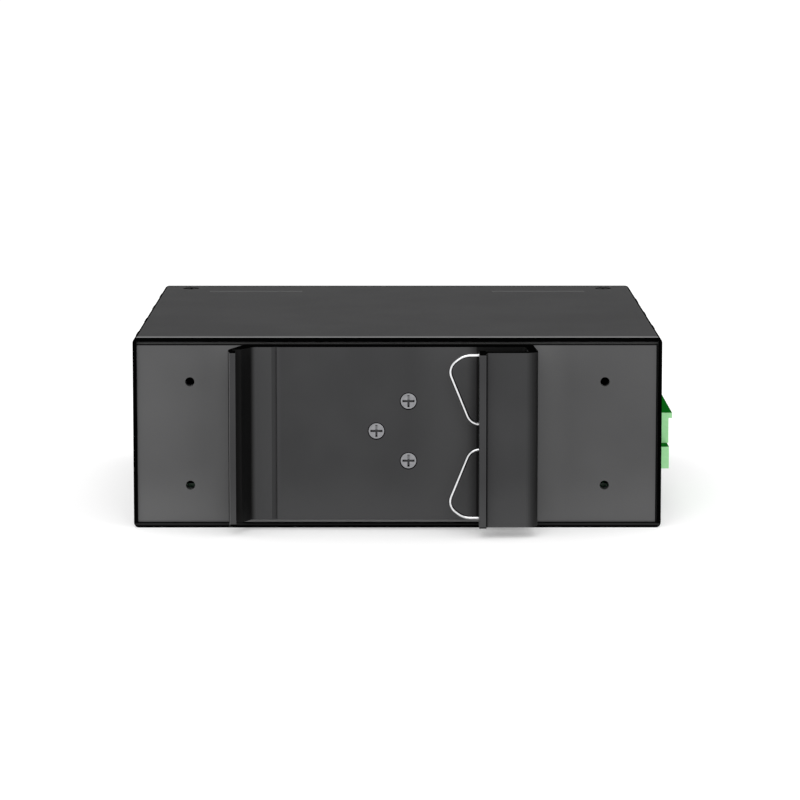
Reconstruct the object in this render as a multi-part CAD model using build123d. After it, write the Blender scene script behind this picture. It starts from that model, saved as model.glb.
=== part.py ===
from build123d import *
import os

# Mini media converter in a folded sheet case, with a rail clip on its back.
# Millimetres. X runs along the case, Y from the clip at the back (-Y) to the ports (+Y),
# Z up. The origin is the middle of the side on which the case lies.

# Case sleeve, a closed tube of sheet open at its back and front
case_width = 74.0
case_depth = 64.0
case_height = 26.9
sleeve_wall = 0.55
sleeve_corner = 0.75

# Pressed ribs on the two ends of the sleeve
rib_half_width = 0.9
rib_rise = 0.08
rib_margin = 0.1
left_rib_first = 7.0
left_rib_pitch = 15.4
left_rib_count = 4
right_rib_first = 14.1
right_rib_pitch = 16.0
right_rib_count = 3
right_rib_gap = 1.0

# Shallow pressed lines across the top of the sleeve
crease_inner = 15.0
crease_outer = 29.2
crease_width = 0.5
crease_depth = 0.25
crease_setback = 8.1

# Tray folded from one sheet: back wall, floor and front wall
tray_sheet = 1.0
tray_side_gap = 0.03
tray_top_gap = 0.1
tray_setback = 0.3
tray_bend = 0.45
back_flange = 5.0
front_flange = 7.2

# Countersunk screws of the sleeve and of the clip
small_shaft_radius = 0.6
small_head_radius = 1.08
small_head_depth = 0.5
small_seat_margin = 0.12
small_seat_rim = 0.1
small_hole_margin = 0.1
head_sink = 0.12
cross_width = 0.3
cross_reach = 0.84
cross_depth = 0.4
thread_gap = 0.03
cover_screw_inset = 4.5
cover_screw_setback = 3.9
cover_screw_length = 2.6

# Rail clip, an extrusion cut to length
clip_low_margin = 1.6
clip_high_margin = 1.05
clip_plate = 2.5
clip_left_foot = -21.5
clip_left_bulge = -23.35
clip_left_outer_tip = -23.1
clip_left_inner_tip = -22.3
clip_left_slope_foot = -20.2
clip_left_rise = 5.0
clip_left_lip_below = 3.7
clip_groove_wall = -22.75
clip_groove_floor = 2.5
clip_step_x = -16.77
clip_step_run = 0.75
clip_step_depth = 0.25
clip_right_base = 18.95
clip_right_top = 19.5
clip_right_wall = 1.3
clip_face_rise = 6.2
clip_face_sheet = 1.5
clip_lip_left = 11.26
clip_lip_thick = 0.9
clip_lip_rise = 7.4
clip_lip_below = 3.7
clip_outer_round = 1.9
clip_inner_round = 0.6
clip_foot_round = 1.0
clip_end_round = 0.4

# Clip screws: two in a column and one beside them, with nuts inside the case
clip_screw_column_x = 1.54
clip_screw_single_x = -2.93
clip_screw_spread = 8.4
clip_screw_raise = 0.33
clip_screw_length = 4.9
clip_nut_flats = 3.0
clip_nut_height = 1.0

# Wire spring that presses the rail against the left lip
spring_wire = 0.5
spring_rise = 3.0
spring_hole_gap = 0.05
spring_end_depth = 0.9
spring_end_inset = 0.75
spring_shoulder_x = 9.2
spring_tip_x = 6.94
spring_tip_drop = 1.7
spring_waist_x = 10.17
spring_waist_z = 1.8
spring_turn_x = 15.8
spring_shoulder_round = 3.0
spring_tip_round = 1.8
spring_waist_round = 1.8
spring_turn_round = 1.2

# Four tapped holes in the back wall, with press nuts inside
mount_spacing_x = 58.1
mount_spacing_z = 14.65
mount_drop = 0.15
mount_hole_radius = 0.65
mount_nut_flats = 3.2
mount_nut_height = 1.3

# Circuit board on four hexagon posts
board_thick = 1.2
board_side_gap = 1.92
board_back_gap = 2.1
board_front_gap = 0.5
post_height = 2.95
post_flats = 3.2
post_side_inset = 2.2
post_back_inset = 2.6
post_front_inset = 8.2
post_bore_radius = 0.63
board_hole_radius = 0.85
board_screw_head = 1.4
board_screw_head_height = 0.9
board_screw_edge = 0.35
board_screw_length = 3.4

# Network socket
socket_x = 8.0
socket_width = 15.9
socket_height = 13.4
socket_depth = 21.3
socket_proud = 0.7
socket_sheet = 0.3
socket_gap = 0.05
panel_gap = 0.3
jack_width = 11.8
jack_height = 7.0
jack_depth = 14.5
jack_below_top = 2.2
key_width = 6.4
key_height = 1.5
key_low_width = 3.4
key_low_height = 1.4
contact_count = 8
contact_pitch = 1.02
contact_width = 0.45
contact_thick = 0.3
contact_tail = 2.4
contact_above_jack = 0.7
contact_set_back = 3.2
contact_slant = 6.5
contact_drop = 1.6
contact_slot_rise = 1.4
contact_slot_half_depth = 0.4
contact_slot_set_back = 2.0
contact_through = 1.0
insert_set_back = 0.2
insert_lift = 0.1

# Two-port fiber transceiver with its dust plug
fiber_side_inset = 4.3
fiber_width = 25.4
fiber_height = 10.2
fiber_depth = 38.0
fiber_proud = 1.0
port_pitch = 12.7
port_width = 9.4
port_height = 7.4
port_depth = 12.0
port_center = 5.3
key_slot_width = 2.2
key_slot_height = 0.9
key_slot_depth = 5.0
fiber_edge = 0.5
fiber_step_setback = 6.0
fiber_step_drop = 1.2
ferrule_seat = 1.5
ferrule_bottom = 1.0
ferrule_outer = 1.6
ferrule_inner = 1.25
ferrule_length = 8.0
plug_shank_gap = 0.15
plug_shank_length = 9.0
plug_bore_gap = 0.2
plug_cap_width = 24.0
plug_cap_height = 8.8
plug_cap_thick = 2.0
plug_cap_round = 1.2
plug_cap_gap = 0.05
plug_grip_length = 15.0
plug_grip_height = 4.2
plug_grip_reach = 3.0
plug_grip_round = 1.0
grip_groove_count = 3
grip_groove_pitch = 0.8
grip_groove_size = 0.4
pin_pitch = 2.54
pin_count = 9
pin_thick = 0.5
pin_hole_gap = 0.15
pin_reach = 3.0
pin_embed = 1.4
pin_rear_inset = 2.0

# Status lamps: a holder on the board and light pipes through the front wall
lamp_side_inset = 5.0
lamp_pitch_x = 4.0
lamp_columns = 3
lamp_low = 3.4
lamp_pitch_z = 4.2
lamp_rows = 2
lamp_radius = 0.95
lamp_proud = 0.6
lamp_hole_gap = 0.1
lamp_holder_depth = 6.0
lamp_holder_margin = 1.7
lamp_holder_set = 0.6
lamp_pipe_embed = 3.0
lamp_tip_edge = 0.4
lamp_holder_slant = 2.0

# Pluggable screw terminal in the right end
pole_count = 6
pole_pitch = 3.5
terminal_back_y = -17.5
terminal_end_wall = 0.5
terminal_low = 0.8
terminal_step = 3.15
terminal_high = 8.35
terminal_proud = 2.2
lower_proud = 2.0
lower_extra = 3.5
lip_proud = 2.7
lip_height = 0.77
lip_reach = 2.2
plug_length = 12.8
cutout_gap = 0.4
header_depth = 9.2
header_set_in = 6.0
header_rear_gap = 0.1
header_wall = 0.7
header_gap = 0.15
entry_size = 2.6
entry_depth = 7.3
clamp_gap = 0.05
clamp_length = 4.4
clamp_bore_radius = 0.85
driver_radius = 1.3
driver_depth = 2.3
screw_gap = 0.1
screw_head_radius = 1.15
screw_head_height = 1.3
screw_shaft_radius = 0.7
screw_length = 6.5
screw_end_gap = 0.3
slot_width = 0.35
slot_depth = 0.5
pin_size = 0.8
pin_slack = 0.2
pin_tip_set_in = 6.4
pin_tail_set_back = 0.6
pin_through = 1.0

# Chips and power parts on the board
chip_body = 10.0
chip_height = 1.4
chip_x = -10.0
chip_fiber_gap = 2.7
chip_lift = 0.15
chip_edge = 0.2
chip_legs = 7
leg_pitch = 1.1
leg_width = 0.45
leg_reach = 1.0
leg_thick = 0.2
module_length = 12.7
module_width = 7.6
module_height = 5.6
module_y = 4.0
module_edge = 0.4
coil_size = 7.0
coil_height = 3.4
coil_header_gap = 4.7
coil_y = -12.0
coil_edge = 1.4
coil_dish = 0.4
can_radius = 3.15
can_height = 7.4
can_base = 0.8
can_header_gap = 2.15
can_pitch = 8.0
can_count = 3
can_y = -23.6
can_edge = 0.3
crystal_length = 11.0
crystal_width = 4.4
crystal_height = 3.2
crystal_side_inset = 9.0
crystal_fiber_gap = 2.2
crystal_edge = 0.4
regulator_length = 5.0
regulator_width = 4.0
regulator_height = 1.5
regulator_coil_gap = 2.6
regulator_y = -13.5
regulator_lift = 0.1
regulator_legs = 4
regulator_leg_pitch = 1.27
regulator_leg_width = 0.4
regulator_leg_reach = 0.9
fuse_length = 6.1
fuse_width = 2.7
fuse_height = 2.2
fuse_header_gap = 3.05
fuse_y = -4.5
fuse_cap = 1.3
fuse_waist_depth = 0.15

# Places worked out from the values above
end_x = case_width / 2
back_y = -case_depth / 2
front_y = case_depth / 2
panel_y = back_y + tray_setback
panel_inner_y = panel_y + tray_sheet
face_y = front_y - tray_setback
face_inner_y = face_y - tray_sheet
floor_z = sleeve_wall
floor_top = floor_z + tray_sheet
tray_top = case_height - sleeve_wall - tray_top_gap
tray_half_width = end_x - sleeve_wall - tray_side_gap
board_half_width = tray_half_width - board_side_gap
board_bottom = floor_top + post_height
board_top = board_bottom + board_thick
board_y = (panel_inner_y + board_back_gap, face_inner_y - board_front_gap)
post_x = board_half_width - post_side_inset
cover_screw_x = end_x - cover_screw_inset
cover_screw_y = front_y - cover_screw_setback
plate_y = panel_y - clip_plate
clip_z = (clip_low_margin, case_height - clip_high_margin)
clip_length = clip_z[1] - clip_z[0]
clip_center_z = (clip_z[0] + clip_z[1]) / 2
clip_screw_center_z = clip_center_z + clip_screw_raise
mount_center_z = case_height / 2 - mount_drop
spring_y = plate_y - spring_rise
fiber_x = fiber_side_inset + fiber_width / 2 - board_half_width
fiber_mouth_y = face_y + fiber_proud
fiber_rear_y = fiber_mouth_y - fiber_depth
fiber_center_z = board_top + port_center
jack_ceiling = board_top + socket_height - jack_below_top
contact_back_y = face_y + socket_proud - jack_depth - contact_tail
terminal_front_y = terminal_back_y + pole_count * pole_pitch + 2 * terminal_end_wall
terminal_z = (board_top + terminal_low, board_top + terminal_high)
step_z = board_top + terminal_low + terminal_step
entry_z = (terminal_z[0] + step_z) / 2
driver_z = (step_z + terminal_z[1] - lip_height) / 2
entry_x = end_x + lower_proud
driver_x = end_x + terminal_proud
plug_rear_x = end_x - plug_length
header_front_x = end_x - header_set_in
header_back_x = header_front_x - header_depth
pin_tip_x = end_x - pin_tip_set_in
pin_tail_x = header_back_x - pin_tail_set_back
coil_x = header_back_x - coil_header_gap - coil_size / 2
regulator_x = coil_x - coil_size / 2 - regulator_coil_gap - regulator_length / 2
can_last_x = header_back_x - can_header_gap - can_radius
fuse_x = header_back_x - fuse_header_gap - fuse_width / 2
chip_y = fiber_rear_y - chip_fiber_gap - leg_reach - chip_body / 2
crystal_x = crystal_side_inset - board_half_width
crystal_y = fiber_rear_y - crystal_fiber_gap - crystal_length / 2


def block(x, y, z):
    """A box between two limits along each axis."""
    size = Box(x[1] - x[0], y[1] - y[0], z[1] - z[0])
    return Pos((x[0] + x[1]) / 2, (y[0] + y[1]) / 2, (z[0] + z[1]) / 2) * size


def rod_y(x, z, y, radius):
    """A round rod along Y between two limits."""
    return Pos(x, (y[0] + y[1]) / 2, z) * Rot(90, 0, 0) * Cylinder(radius, y[1] - y[0])


def rod_x(y, z, x, radius):
    """A round rod along X between two limits."""
    return Pos((x[0] + x[1]) / 2, y, z) * Rot(0, 90, 0) * Cylinder(radius, x[1] - x[0])


def rod_z(x, y, z, radius):
    """A round rod along Z between two limits."""
    return Pos(x, y, (z[0] + z[1]) / 2) * Cylinder(radius, z[1] - z[0])


def upright(x, y, z, size):
    """A square bar standing along Z between two limits."""
    return Pos(x, y, (z[0] + z[1]) / 2) * Box(size, size, z[1] - z[0])


def joined(solids):
    """All the solids as one compound, each of them kept apart."""
    flat = [solid for piece in solids for solid in piece.solids()]
    return Compound(children=flat)


def countersunk_screw(length):
    """A small countersunk cross-head screw, its head flat at Z = 0 and facing up."""
    head = Pos(0, 0, -small_head_depth / 2) * Cone(small_shaft_radius, small_head_radius, small_head_depth)
    screw = head + rod_z(0, 0, (-length, -small_head_depth / 2), small_shaft_radius)
    arm = (-cross_reach, cross_reach)
    slot = (-cross_width / 2, cross_width / 2)
    depth = (-cross_depth, cross_depth)
    return screw - block(arm, slot, depth) - block(slot, arm, depth)


def countersink(length):
    """The hole for a small countersunk screw, open at Z = 0 and running down."""
    top = small_head_radius + small_seat_margin
    bottom = small_shaft_radius + small_hole_margin
    cone_center = -small_seat_rim - (top - bottom) / 2
    seat = Pos(0, 0, cone_center) * Cone(bottom, top, top - bottom)
    return seat + rod_z(0, 0, (-small_seat_rim, 0), top) + rod_z(0, 0, (-length, 0), bottom)


def nut(flats, height, bore_radius):
    """A hexagon nut standing on Z = 0."""
    outline = RegularPolygon(flats / 2, 6, major_radius=False) - Circle(bore_radius)
    return extrude(outline, height)


def case_outline(grow):
    """The rounded outline of the sleeve seen from the back, grown sideways."""
    return Pos(0, case_height / 2) * RectangleRounded(case_width + 2 * grow, case_height, sleeve_corner)


def through_depth(outline):
    """An outline in X and Z run through the whole depth of the case."""
    return Pos(0, front_y, 0) * extrude(Plane.XZ * outline, case_depth)


def rib(side, y, bottom):
    """A long rod whose skin stands out of the end wall as a shallow rib."""
    radius = (rib_half_width ** 2 + rib_rise ** 2) / (2 * rib_rise)
    x = side * (end_x + rib_rise - radius)
    return rod_z(x, y, (bottom, case_height - rib_margin), radius)


def rib_places():
    """Side, depth and lower end of every rib."""
    bottom = rib_margin + sleeve_corner
    above_terminal = terminal_z[1] + cutout_gap + right_rib_gap
    left = [(-1, back_y + left_rib_first + i * left_rib_pitch, bottom) for i in range(left_rib_count)]
    right = [
        (1, back_y + right_rib_first + i * right_rib_pitch, above_terminal)
        for i in range(right_rib_count)
    ]
    return left + right


def make_case_sleeve():
    """The tube with its ribs, pressed lines, screw seats and terminal cut-out."""
    bore = Rectangle(case_width - 2 * sleeve_wall, case_height - 2 * sleeve_wall)
    sleeve = through_depth(case_outline(0) - Pos(0, case_height / 2) * bore)
    limit = through_depth(case_outline(rib_rise))
    for side, y, bottom in rib_places():
        outside = sorted((side * (end_x - sleeve_wall / 2), side * (end_x + 2 * rib_rise)))
        skin = block(outside, (back_y, front_y), (0, case_height))
        sleeve += rib(side, y, bottom) & limit & skin
    for side in (-1, 1):
        line_x = sorted((side * crease_inner, side * crease_outer))
        line_y = front_y - crease_setback
        line_z = (case_height - crease_depth, case_height + crease_depth)
        sleeve -= block(line_x, (line_y - crease_width / 2, line_y + crease_width / 2), line_z)
        seat = Pos(side * cover_screw_x, cover_screw_y, case_height) * countersink(2 * sleeve_wall)
        sleeve -= seat
    cut_y = (terminal_back_y - lower_extra - cutout_gap, terminal_front_y + cutout_gap)
    cut_z = (terminal_z[0] - cutout_gap, terminal_z[1] + cutout_gap)
    cut_x = (end_x - 2 * sleeve_wall, end_x + 2 * rib_rise)
    return sleeve - block(cut_x, cut_y, cut_z)


def make_cover_screws():
    """The two screws that hold the sleeve to the front flange of the tray."""
    screw = countersunk_screw(cover_screw_length)
    z = case_height - head_sink
    return joined([Pos(side * cover_screw_x, cover_screw_y, z) * screw for side in (-1, 1)])


def clip_screw_places():
    """X and Z of the three clip screws."""
    column = [(clip_screw_column_x, clip_screw_center_z + side * clip_screw_spread / 2) for side in (-1, 1)]
    return column + [(clip_screw_single_x, clip_screw_center_z)]


def mount_places():
    """X and Z of the four tapped holes in the back wall."""
    return [
        (side * mount_spacing_x / 2, mount_center_z + level * mount_spacing_z / 2)
        for side in (-1, 1)
        for level in (-1, 1)
    ]


def post_places():
    """X and Y of the four board posts."""
    rows = (board_y[0] + post_back_inset, board_y[1] - post_front_inset)
    return [(side * post_x, y) for side in (-1, 1) for y in rows]


def lamp_places():
    """X and Z of the light pipes."""
    first = board_half_width - lamp_side_inset - (lamp_columns - 1) * lamp_pitch_x
    return [
        (first + i * lamp_pitch_x, board_top + lamp_low + j * lamp_pitch_z)
        for i in range(lamp_columns)
        for j in range(lamp_rows)
    ]


def make_chassis_tray():
    """Back wall, floor and front wall in one folded sheet, with a flange on each wall."""
    depth = face_y - panel_y
    height = tray_top - floor_z
    middle = ((panel_y + face_y) / 2, (floor_z + tray_top) / 2)
    outer = RectangleRounded(depth, height, tray_bend)
    inner = Rectangle(depth - 2 * tray_sheet, height - 2 * tray_sheet)
    ring = Pos(*middle) * (outer - inner)
    tray = Pos(-tray_half_width, 0, 0) * extrude(Plane.YZ * ring, 2 * tray_half_width)
    width = (-tray_half_width - 1, tray_half_width + 1)
    open_y = (panel_y + back_flange, face_y - front_flange)
    tray -= block(width, open_y, (tray_top - 1.5 * tray_sheet, tray_top + tray_sheet))
    wall = (panel_y - tray_sheet, panel_inner_y + tray_sheet / 2)
    for x, z in clip_screw_places():
        tray -= rod_y(x, z, wall, small_shaft_radius + small_hole_margin)
    for x, z in mount_places():
        tray -= rod_y(x, z, wall, mount_hole_radius)
    for x, y in post_places():
        tray -= rod_z(x, y, (0, floor_top + 0.1), post_bore_radius)
    for side in (-1, 1):
        hole_z = (tray_top - 1.5 * tray_sheet, tray_top + tray_sheet)
        tray -= rod_z(side * cover_screw_x, cover_screw_y, hole_z, small_shaft_radius + thread_gap)
    return tray - make_front_cuts()


def make_front_cuts():
    """The cut-outs of the front wall: network socket, fiber ports and lamps."""
    wall = (face_inner_y - tray_sheet / 2, face_y + tray_sheet)
    half = socket_width / 2 + panel_gap
    cuts = block((socket_x - half, socket_x + half), wall,
                 (board_top - panel_gap, board_top + socket_height + panel_gap))
    half = fiber_width / 2 + panel_gap
    cuts += block((fiber_x - half, fiber_x + half), wall,
                  (board_top - panel_gap, board_top + fiber_height + panel_gap))
    for x, z in lamp_places():
        cuts += rod_y(x, z, wall, lamp_radius + lamp_hole_gap)
    return cuts


def clip_point(x, rise):
    """A point of the clip's section, at a height above the front of its plate."""
    return (x, plate_y - rise)


def clip_section():
    """The clip's section: plate, leaning left flange and right hook with its lip."""
    lip_right = clip_lip_left + clip_lip_thick
    wall_slope = (clip_right_top - clip_right_base) / (clip_plate + clip_face_rise)
    channel_top = clip_face_rise - clip_face_sheet
    inner_low = clip_right_base + wall_slope * clip_plate - clip_right_wall
    inner_high = inner_low + wall_slope * channel_top
    slope = (clip_left_inner_tip - clip_left_slope_foot) / clip_left_lip_below
    groove_edge = clip_left_slope_foot + slope * clip_groove_floor
    points = [
        clip_point(clip_left_foot, -clip_plate),
        clip_point(clip_left_bulge, clip_groove_floor),
        clip_point(clip_left_bulge, clip_left_lip_below + 0.4),
        clip_point(clip_left_outer_tip, clip_left_rise),
        clip_point(clip_left_inner_tip, clip_left_rise),
        clip_point(clip_left_inner_tip, clip_left_lip_below),
        clip_point(clip_groove_wall, clip_left_lip_below),
        clip_point(clip_groove_wall, clip_groove_floor),
        clip_point(groove_edge, clip_groove_floor),
        clip_point(clip_left_slope_foot, 0),
        clip_point(clip_step_x - clip_step_run, 0),
        clip_point(clip_step_x - 0.1, -clip_step_depth),
        clip_point(clip_step_x, 0),
        clip_point(inner_low, 0),
        clip_point(inner_high, channel_top),
        clip_point(lip_right, channel_top),
        clip_point(lip_right, clip_lip_below),
        clip_point(clip_lip_left, clip_lip_below),
        clip_point(clip_lip_left, clip_lip_rise),
        clip_point(lip_right, clip_lip_rise),
        clip_point(lip_right + 0.15, clip_face_rise),
        clip_point(clip_right_top, clip_face_rise),
        clip_point(clip_right_base, -clip_plate),
    ]
    section = make_face(Polyline(*points, close=True))
    rounds = (
        (clip_foot_round, [points[9]]),
        (clip_inner_round, [points[13], points[14]]),
        (clip_outer_round, [points[21]]),
    )
    for radius, corners in rounds:
        for corner in corners:
            near = section.vertices().sort_by_distance(Vector(*corner, 0))[0]
            section = fillet(near, radius)
    return section


def make_rail_clip():
    """The extruded clip with rounded flange ends, screw seats and spring holes."""
    clip = Pos(0, 0, clip_z[0]) * extrude(clip_section(), clip_length)
    tips = (plate_y - clip_left_rise, plate_y - clip_lip_rise)
    ends = [
        edge
        for edge in clip.edges().filter_by(Axis.X)
        if min(abs(edge.center().Y - tip) for tip in tips) < 0.05
    ]
    clip = fillet(ends, clip_end_round)
    for x, z in clip_screw_places():
        clip -= Pos(x, plate_y, z) * Rot(90, 0, 0) * countersink(2 * clip_plate)
    for side in (-1, 1):
        z = clip_center_z + side * (clip_length / 2 - spring_end_inset)
        reach = (clip_right_base - 2 * clip_right_wall, clip_right_top + 1)
        clip -= rod_x(spring_y, z, reach, spring_wire / 2 + spring_hole_gap)
    return clip


def make_clip_screws():
    """The three countersunk screws through the clip and the back wall."""
    screw = Rot(90, 0, 0) * countersunk_screw(clip_screw_length)
    return joined([Pos(x, plate_y + head_sink, z) * screw for x, z in clip_screw_places()])


def make_clip_nuts():
    """The nuts of the clip screws, against the inside of the back wall."""
    piece = Rot(-90, 0, 0) * nut(clip_nut_flats, clip_nut_height, small_shaft_radius + thread_gap)
    return joined([Pos(x, panel_inner_y, z) * piece for x, z in clip_screw_places()])


def make_mount_nuts():
    """The press nuts behind the four tapped holes."""
    piece = Rot(-90, 0, 0) * nut(mount_nut_flats, mount_nut_height, mount_hole_radius)
    return joined([Pos(x, panel_inner_y, z) * piece for x, z in mount_places()])


def make_rail_spring():
    """One bent wire: both ends in the hook's wall and two loops towards the rail."""
    inside_wall = clip_right_base - clip_right_wall + spring_end_depth
    end_z = clip_length / 2 - spring_end_inset
    upper = [
        (inside_wall, end_z),
        (spring_shoulder_x, end_z),
        (spring_tip_x, end_z - spring_tip_drop),
        (spring_waist_x, spring_waist_z),
        (spring_turn_x, spring_waist_z),
    ]
    lower = [(x, -z) for x, z in reversed(upper)]
    route = [Vector(x, spring_y, clip_center_z + z) for x, z in upper + lower]
    half = [spring_shoulder_round, spring_tip_round, spring_waist_round, spring_turn_round]
    path = FilletPolyline(*route, radius=half + half[::-1])
    start = Plane(origin=path @ 0, z_dir=path % 0)
    return sweep(start * Circle(spring_wire / 2), path)


def make_circuit_board():
    """The bare board with its screw and pin holes."""
    board = block((-board_half_width, board_half_width), board_y, (board_bottom, board_top))
    through = (board_bottom - 1, board_top + 1)
    for x, y in post_places():
        board -= rod_z(x, y, through, board_hole_radius)
    for x, y in transceiver_pin_places():
        board -= upright(x, y, through, pin_thick + 2 * pin_hole_gap)
    for x in contact_places():
        board -= upright(x, contact_back_y, through, contact_width + 2 * pin_hole_gap)
    for y in pole_places():
        board -= upright(pin_tail_x, y, through, pin_size + pin_slack)
    return board


def make_board_posts():
    """Four hexagon posts pressed into the tray floor, tapped right through."""
    posts = []
    for x, y in post_places():
        post = nut(post_flats, post_height, small_shaft_radius + thread_gap)
        posts.append(Pos(x, y, floor_top) * post)
    return joined(posts)


def make_board_screws():
    """The four pan-head screws that hold the board on its posts."""
    screws = []
    for x, y in post_places():
        head = rod_z(x, y, (board_top, board_top + board_screw_head_height), board_screw_head)
        head = chamfer(head.faces().sort_by(Axis.Z)[-1].edges(), board_screw_edge)
        low = board_top - board_screw_length
        screws.append(head + rod_z(x, y, (low, board_top + 0.1), small_shaft_radius))
    return joined(screws)


def socket_box(shrink):
    """The network socket's outer box, made smaller on four sides and at the back."""
    half = socket_width / 2 - shrink
    y = (face_y + socket_proud - socket_depth + shrink, face_y + socket_proud)
    z = (board_top + shrink, board_top + socket_height - shrink)
    return (socket_x - half, socket_x + half), y, z


def jack_cut():
    """The space for a network plug: its body and the two steps for its latch."""
    mouth = socket_box(0)[1][1]
    low = jack_ceiling - jack_height
    deep = (mouth - jack_depth, mouth + 1)
    half = jack_width / 2
    cut = block((socket_x - half, socket_x + half), deep, (low, jack_ceiling))
    half = key_width / 2
    cut += block((socket_x - half, socket_x + half), deep, (low - key_height, low + key_height))
    half = key_low_width / 2
    lowest = low - key_height - key_low_height
    return cut + block((socket_x - half, socket_x + half), deep, (lowest, low))


def make_rj45_shield():
    """The sheet shell of the socket, open at its front and underneath."""
    shell = block(*socket_box(0))
    x, y, z = socket_box(socket_sheet)
    return shell - block(x, y, (z[0] - 2 * socket_sheet, z[1])) - block(x, (y[1] - 1, y[1] + 1), z)


def make_rj45_insert():
    """The moulded body inside the shell, with the plug space and contact slots."""
    x, y, z = socket_box(socket_sheet + socket_gap)
    body = block(x, (y[0], y[1] - insert_set_back), (board_top + insert_lift, z[1]))
    body -= jack_cut()
    tail_y = (contact_back_y - contact_slot_half_depth, contact_back_y + contact_slot_half_depth)
    front_y_slot = y[1] - contact_slot_set_back
    half = contact_width / 2 + pin_hole_gap
    top = jack_ceiling + contact_slot_rise
    for place in contact_places():
        slot = (place - half, place + half)
        body -= block(slot, (tail_y[0], front_y_slot), (jack_ceiling - thread_gap, top))
        body -= block(slot, tail_y, (board_top, top))
    return body


def contact_places():
    """X of the eight contacts."""
    first = socket_x - contact_pitch * (contact_count - 1) / 2
    return [first + i * contact_pitch for i in range(contact_count)]


def make_rj45_contacts():
    """Eight bent contacts: tail, run under the ceiling and sprung end in the plug space."""
    mouth = face_y + socket_proud - contact_set_back
    top = jack_ceiling + contact_above_jack
    route = Polyline(
        (contact_back_y, board_bottom - contact_through),
        (contact_back_y, top),
        (mouth, top),
        (mouth - contact_slant, jack_ceiling - contact_drop),
    )
    strip = trace(route, line_width=contact_thick)
    contacts = []
    for x in contact_places():
        contacts.append(Pos(x - contact_width / 2, 0, 0) * extrude(Plane.YZ * strip, contact_width))
    return joined(contacts)


def port_places():
    """X of the two fiber ports."""
    return [fiber_x + side * port_pitch / 2 for side in (-1, 1)]


def port_cut(x, gap):
    """The space of one fiber port, or of what fills it with a gap all round."""
    half = port_width / 2 - gap
    height = port_height / 2 - gap
    y = (fiber_mouth_y - port_depth + gap, fiber_mouth_y + 1)
    return block((x - half, x + half), y, (fiber_center_z - height, fiber_center_z + height))


def make_fiber_transceiver():
    """The transceiver's moulded body with two square ports and their key slots."""
    half = fiber_width / 2
    top = board_top + fiber_height
    body = block((fiber_x - half, fiber_x + half), (fiber_rear_y, fiber_mouth_y), (board_top, top))
    body = chamfer(body.edges().filter_by(Axis.Y).group_by(Axis.Z)[-1], fiber_edge)
    rear = (fiber_rear_y - 1, fiber_mouth_y - port_depth - fiber_step_setback)
    body -= block((fiber_x - half - 1, fiber_x + half + 1), rear, (top - fiber_step_drop, top + 1))
    for x in port_places():
        body -= port_cut(x, 0)
        key = key_slot_width / 2
        slot_top = fiber_center_z + port_height / 2 + key_slot_height
        body -= block((x - key, x + key), (fiber_mouth_y - key_slot_depth, fiber_mouth_y + 1),
                      (fiber_center_z, slot_top))
        seat = fiber_mouth_y - port_depth
        body -= rod_y(x, fiber_center_z, (seat - ferrule_seat, seat + 1), ferrule_outer + thread_gap)
    for x, y in transceiver_pin_places():
        body -= upright(x, y, (board_top - 1, board_top + ferrule_seat), pin_thick + 2 * thread_gap)
    return body


def make_fiber_ferrules():
    """The two split sleeves that line up the fiber ends, seated in the body."""
    back = fiber_mouth_y - port_depth - ferrule_seat
    tubes = []
    for x in port_places():
        outer = rod_y(x, fiber_center_z, (back, back + ferrule_length), ferrule_outer)
        bore = (back + ferrule_bottom, back + ferrule_length + 1)
        tubes.append(outer - rod_y(x, fiber_center_z, bore, ferrule_inner))
    return joined(tubes)


def transceiver_pin_places():
    """X and Y of the transceiver's nine pins."""
    first = fiber_x - pin_pitch * (pin_count - 1) / 2
    return [(first + i * pin_pitch, fiber_rear_y + pin_rear_inset) for i in range(pin_count)]


def make_transceiver_pins():
    """Nine square pins from the transceiver through the board."""
    z = (board_top - pin_reach, board_top + pin_embed)
    return joined([upright(x, y, z, pin_thick) for x, y in transceiver_pin_places()])


def make_fiber_dust_plug():
    """One moulded plug for both ports: two shanks, a cap and a grip with grooves."""
    cap_back = fiber_mouth_y + plug_cap_gap
    cap_y = (cap_back, cap_back + plug_cap_thick)
    half = plug_cap_width / 2
    height = plug_cap_height / 2
    cap = block((fiber_x - half, fiber_x + half), cap_y, (fiber_center_z - height, fiber_center_z + height))
    cap = fillet(cap.edges().filter_by(Axis.Y), plug_cap_round)
    shank_end = fiber_mouth_y - plug_shank_length
    for x in port_places():
        shank = port_cut(x, plug_shank_gap) & block(
            (x - port_width, x + port_width), (shank_end, cap_y[1]), (0, case_height))
        bore = (shank_end - 1, fiber_mouth_y - 1)
        cap += shank - rod_y(x, fiber_center_z, bore, ferrule_outer + plug_bore_gap)
    half = plug_grip_length / 2
    height = plug_grip_height / 2
    grip = block((fiber_x - half, fiber_x + half), (cap_y[1] - plug_cap_gap, cap_y[1] + plug_grip_reach),
                 (fiber_center_z - height, fiber_center_z + height))
    grip = fillet(grip.edges().filter_by(Axis.Y), plug_grip_round)
    for side in (-1, 1):
        for i in range(grip_groove_count):
            y = cap_y[1] + (i + 1) * grip_groove_pitch
            z = fiber_center_z + side * height
            cut = grip_groove_size / 2
            grip -= block((fiber_x - half, fiber_x + half), (y - cut, y + cut), (z - cut, z + cut))
    return cap + grip


def lamp_holder_y():
    """Front and back of the lamp holder."""
    front = face_inner_y - lamp_holder_set
    return (front - lamp_holder_depth, front)


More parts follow.
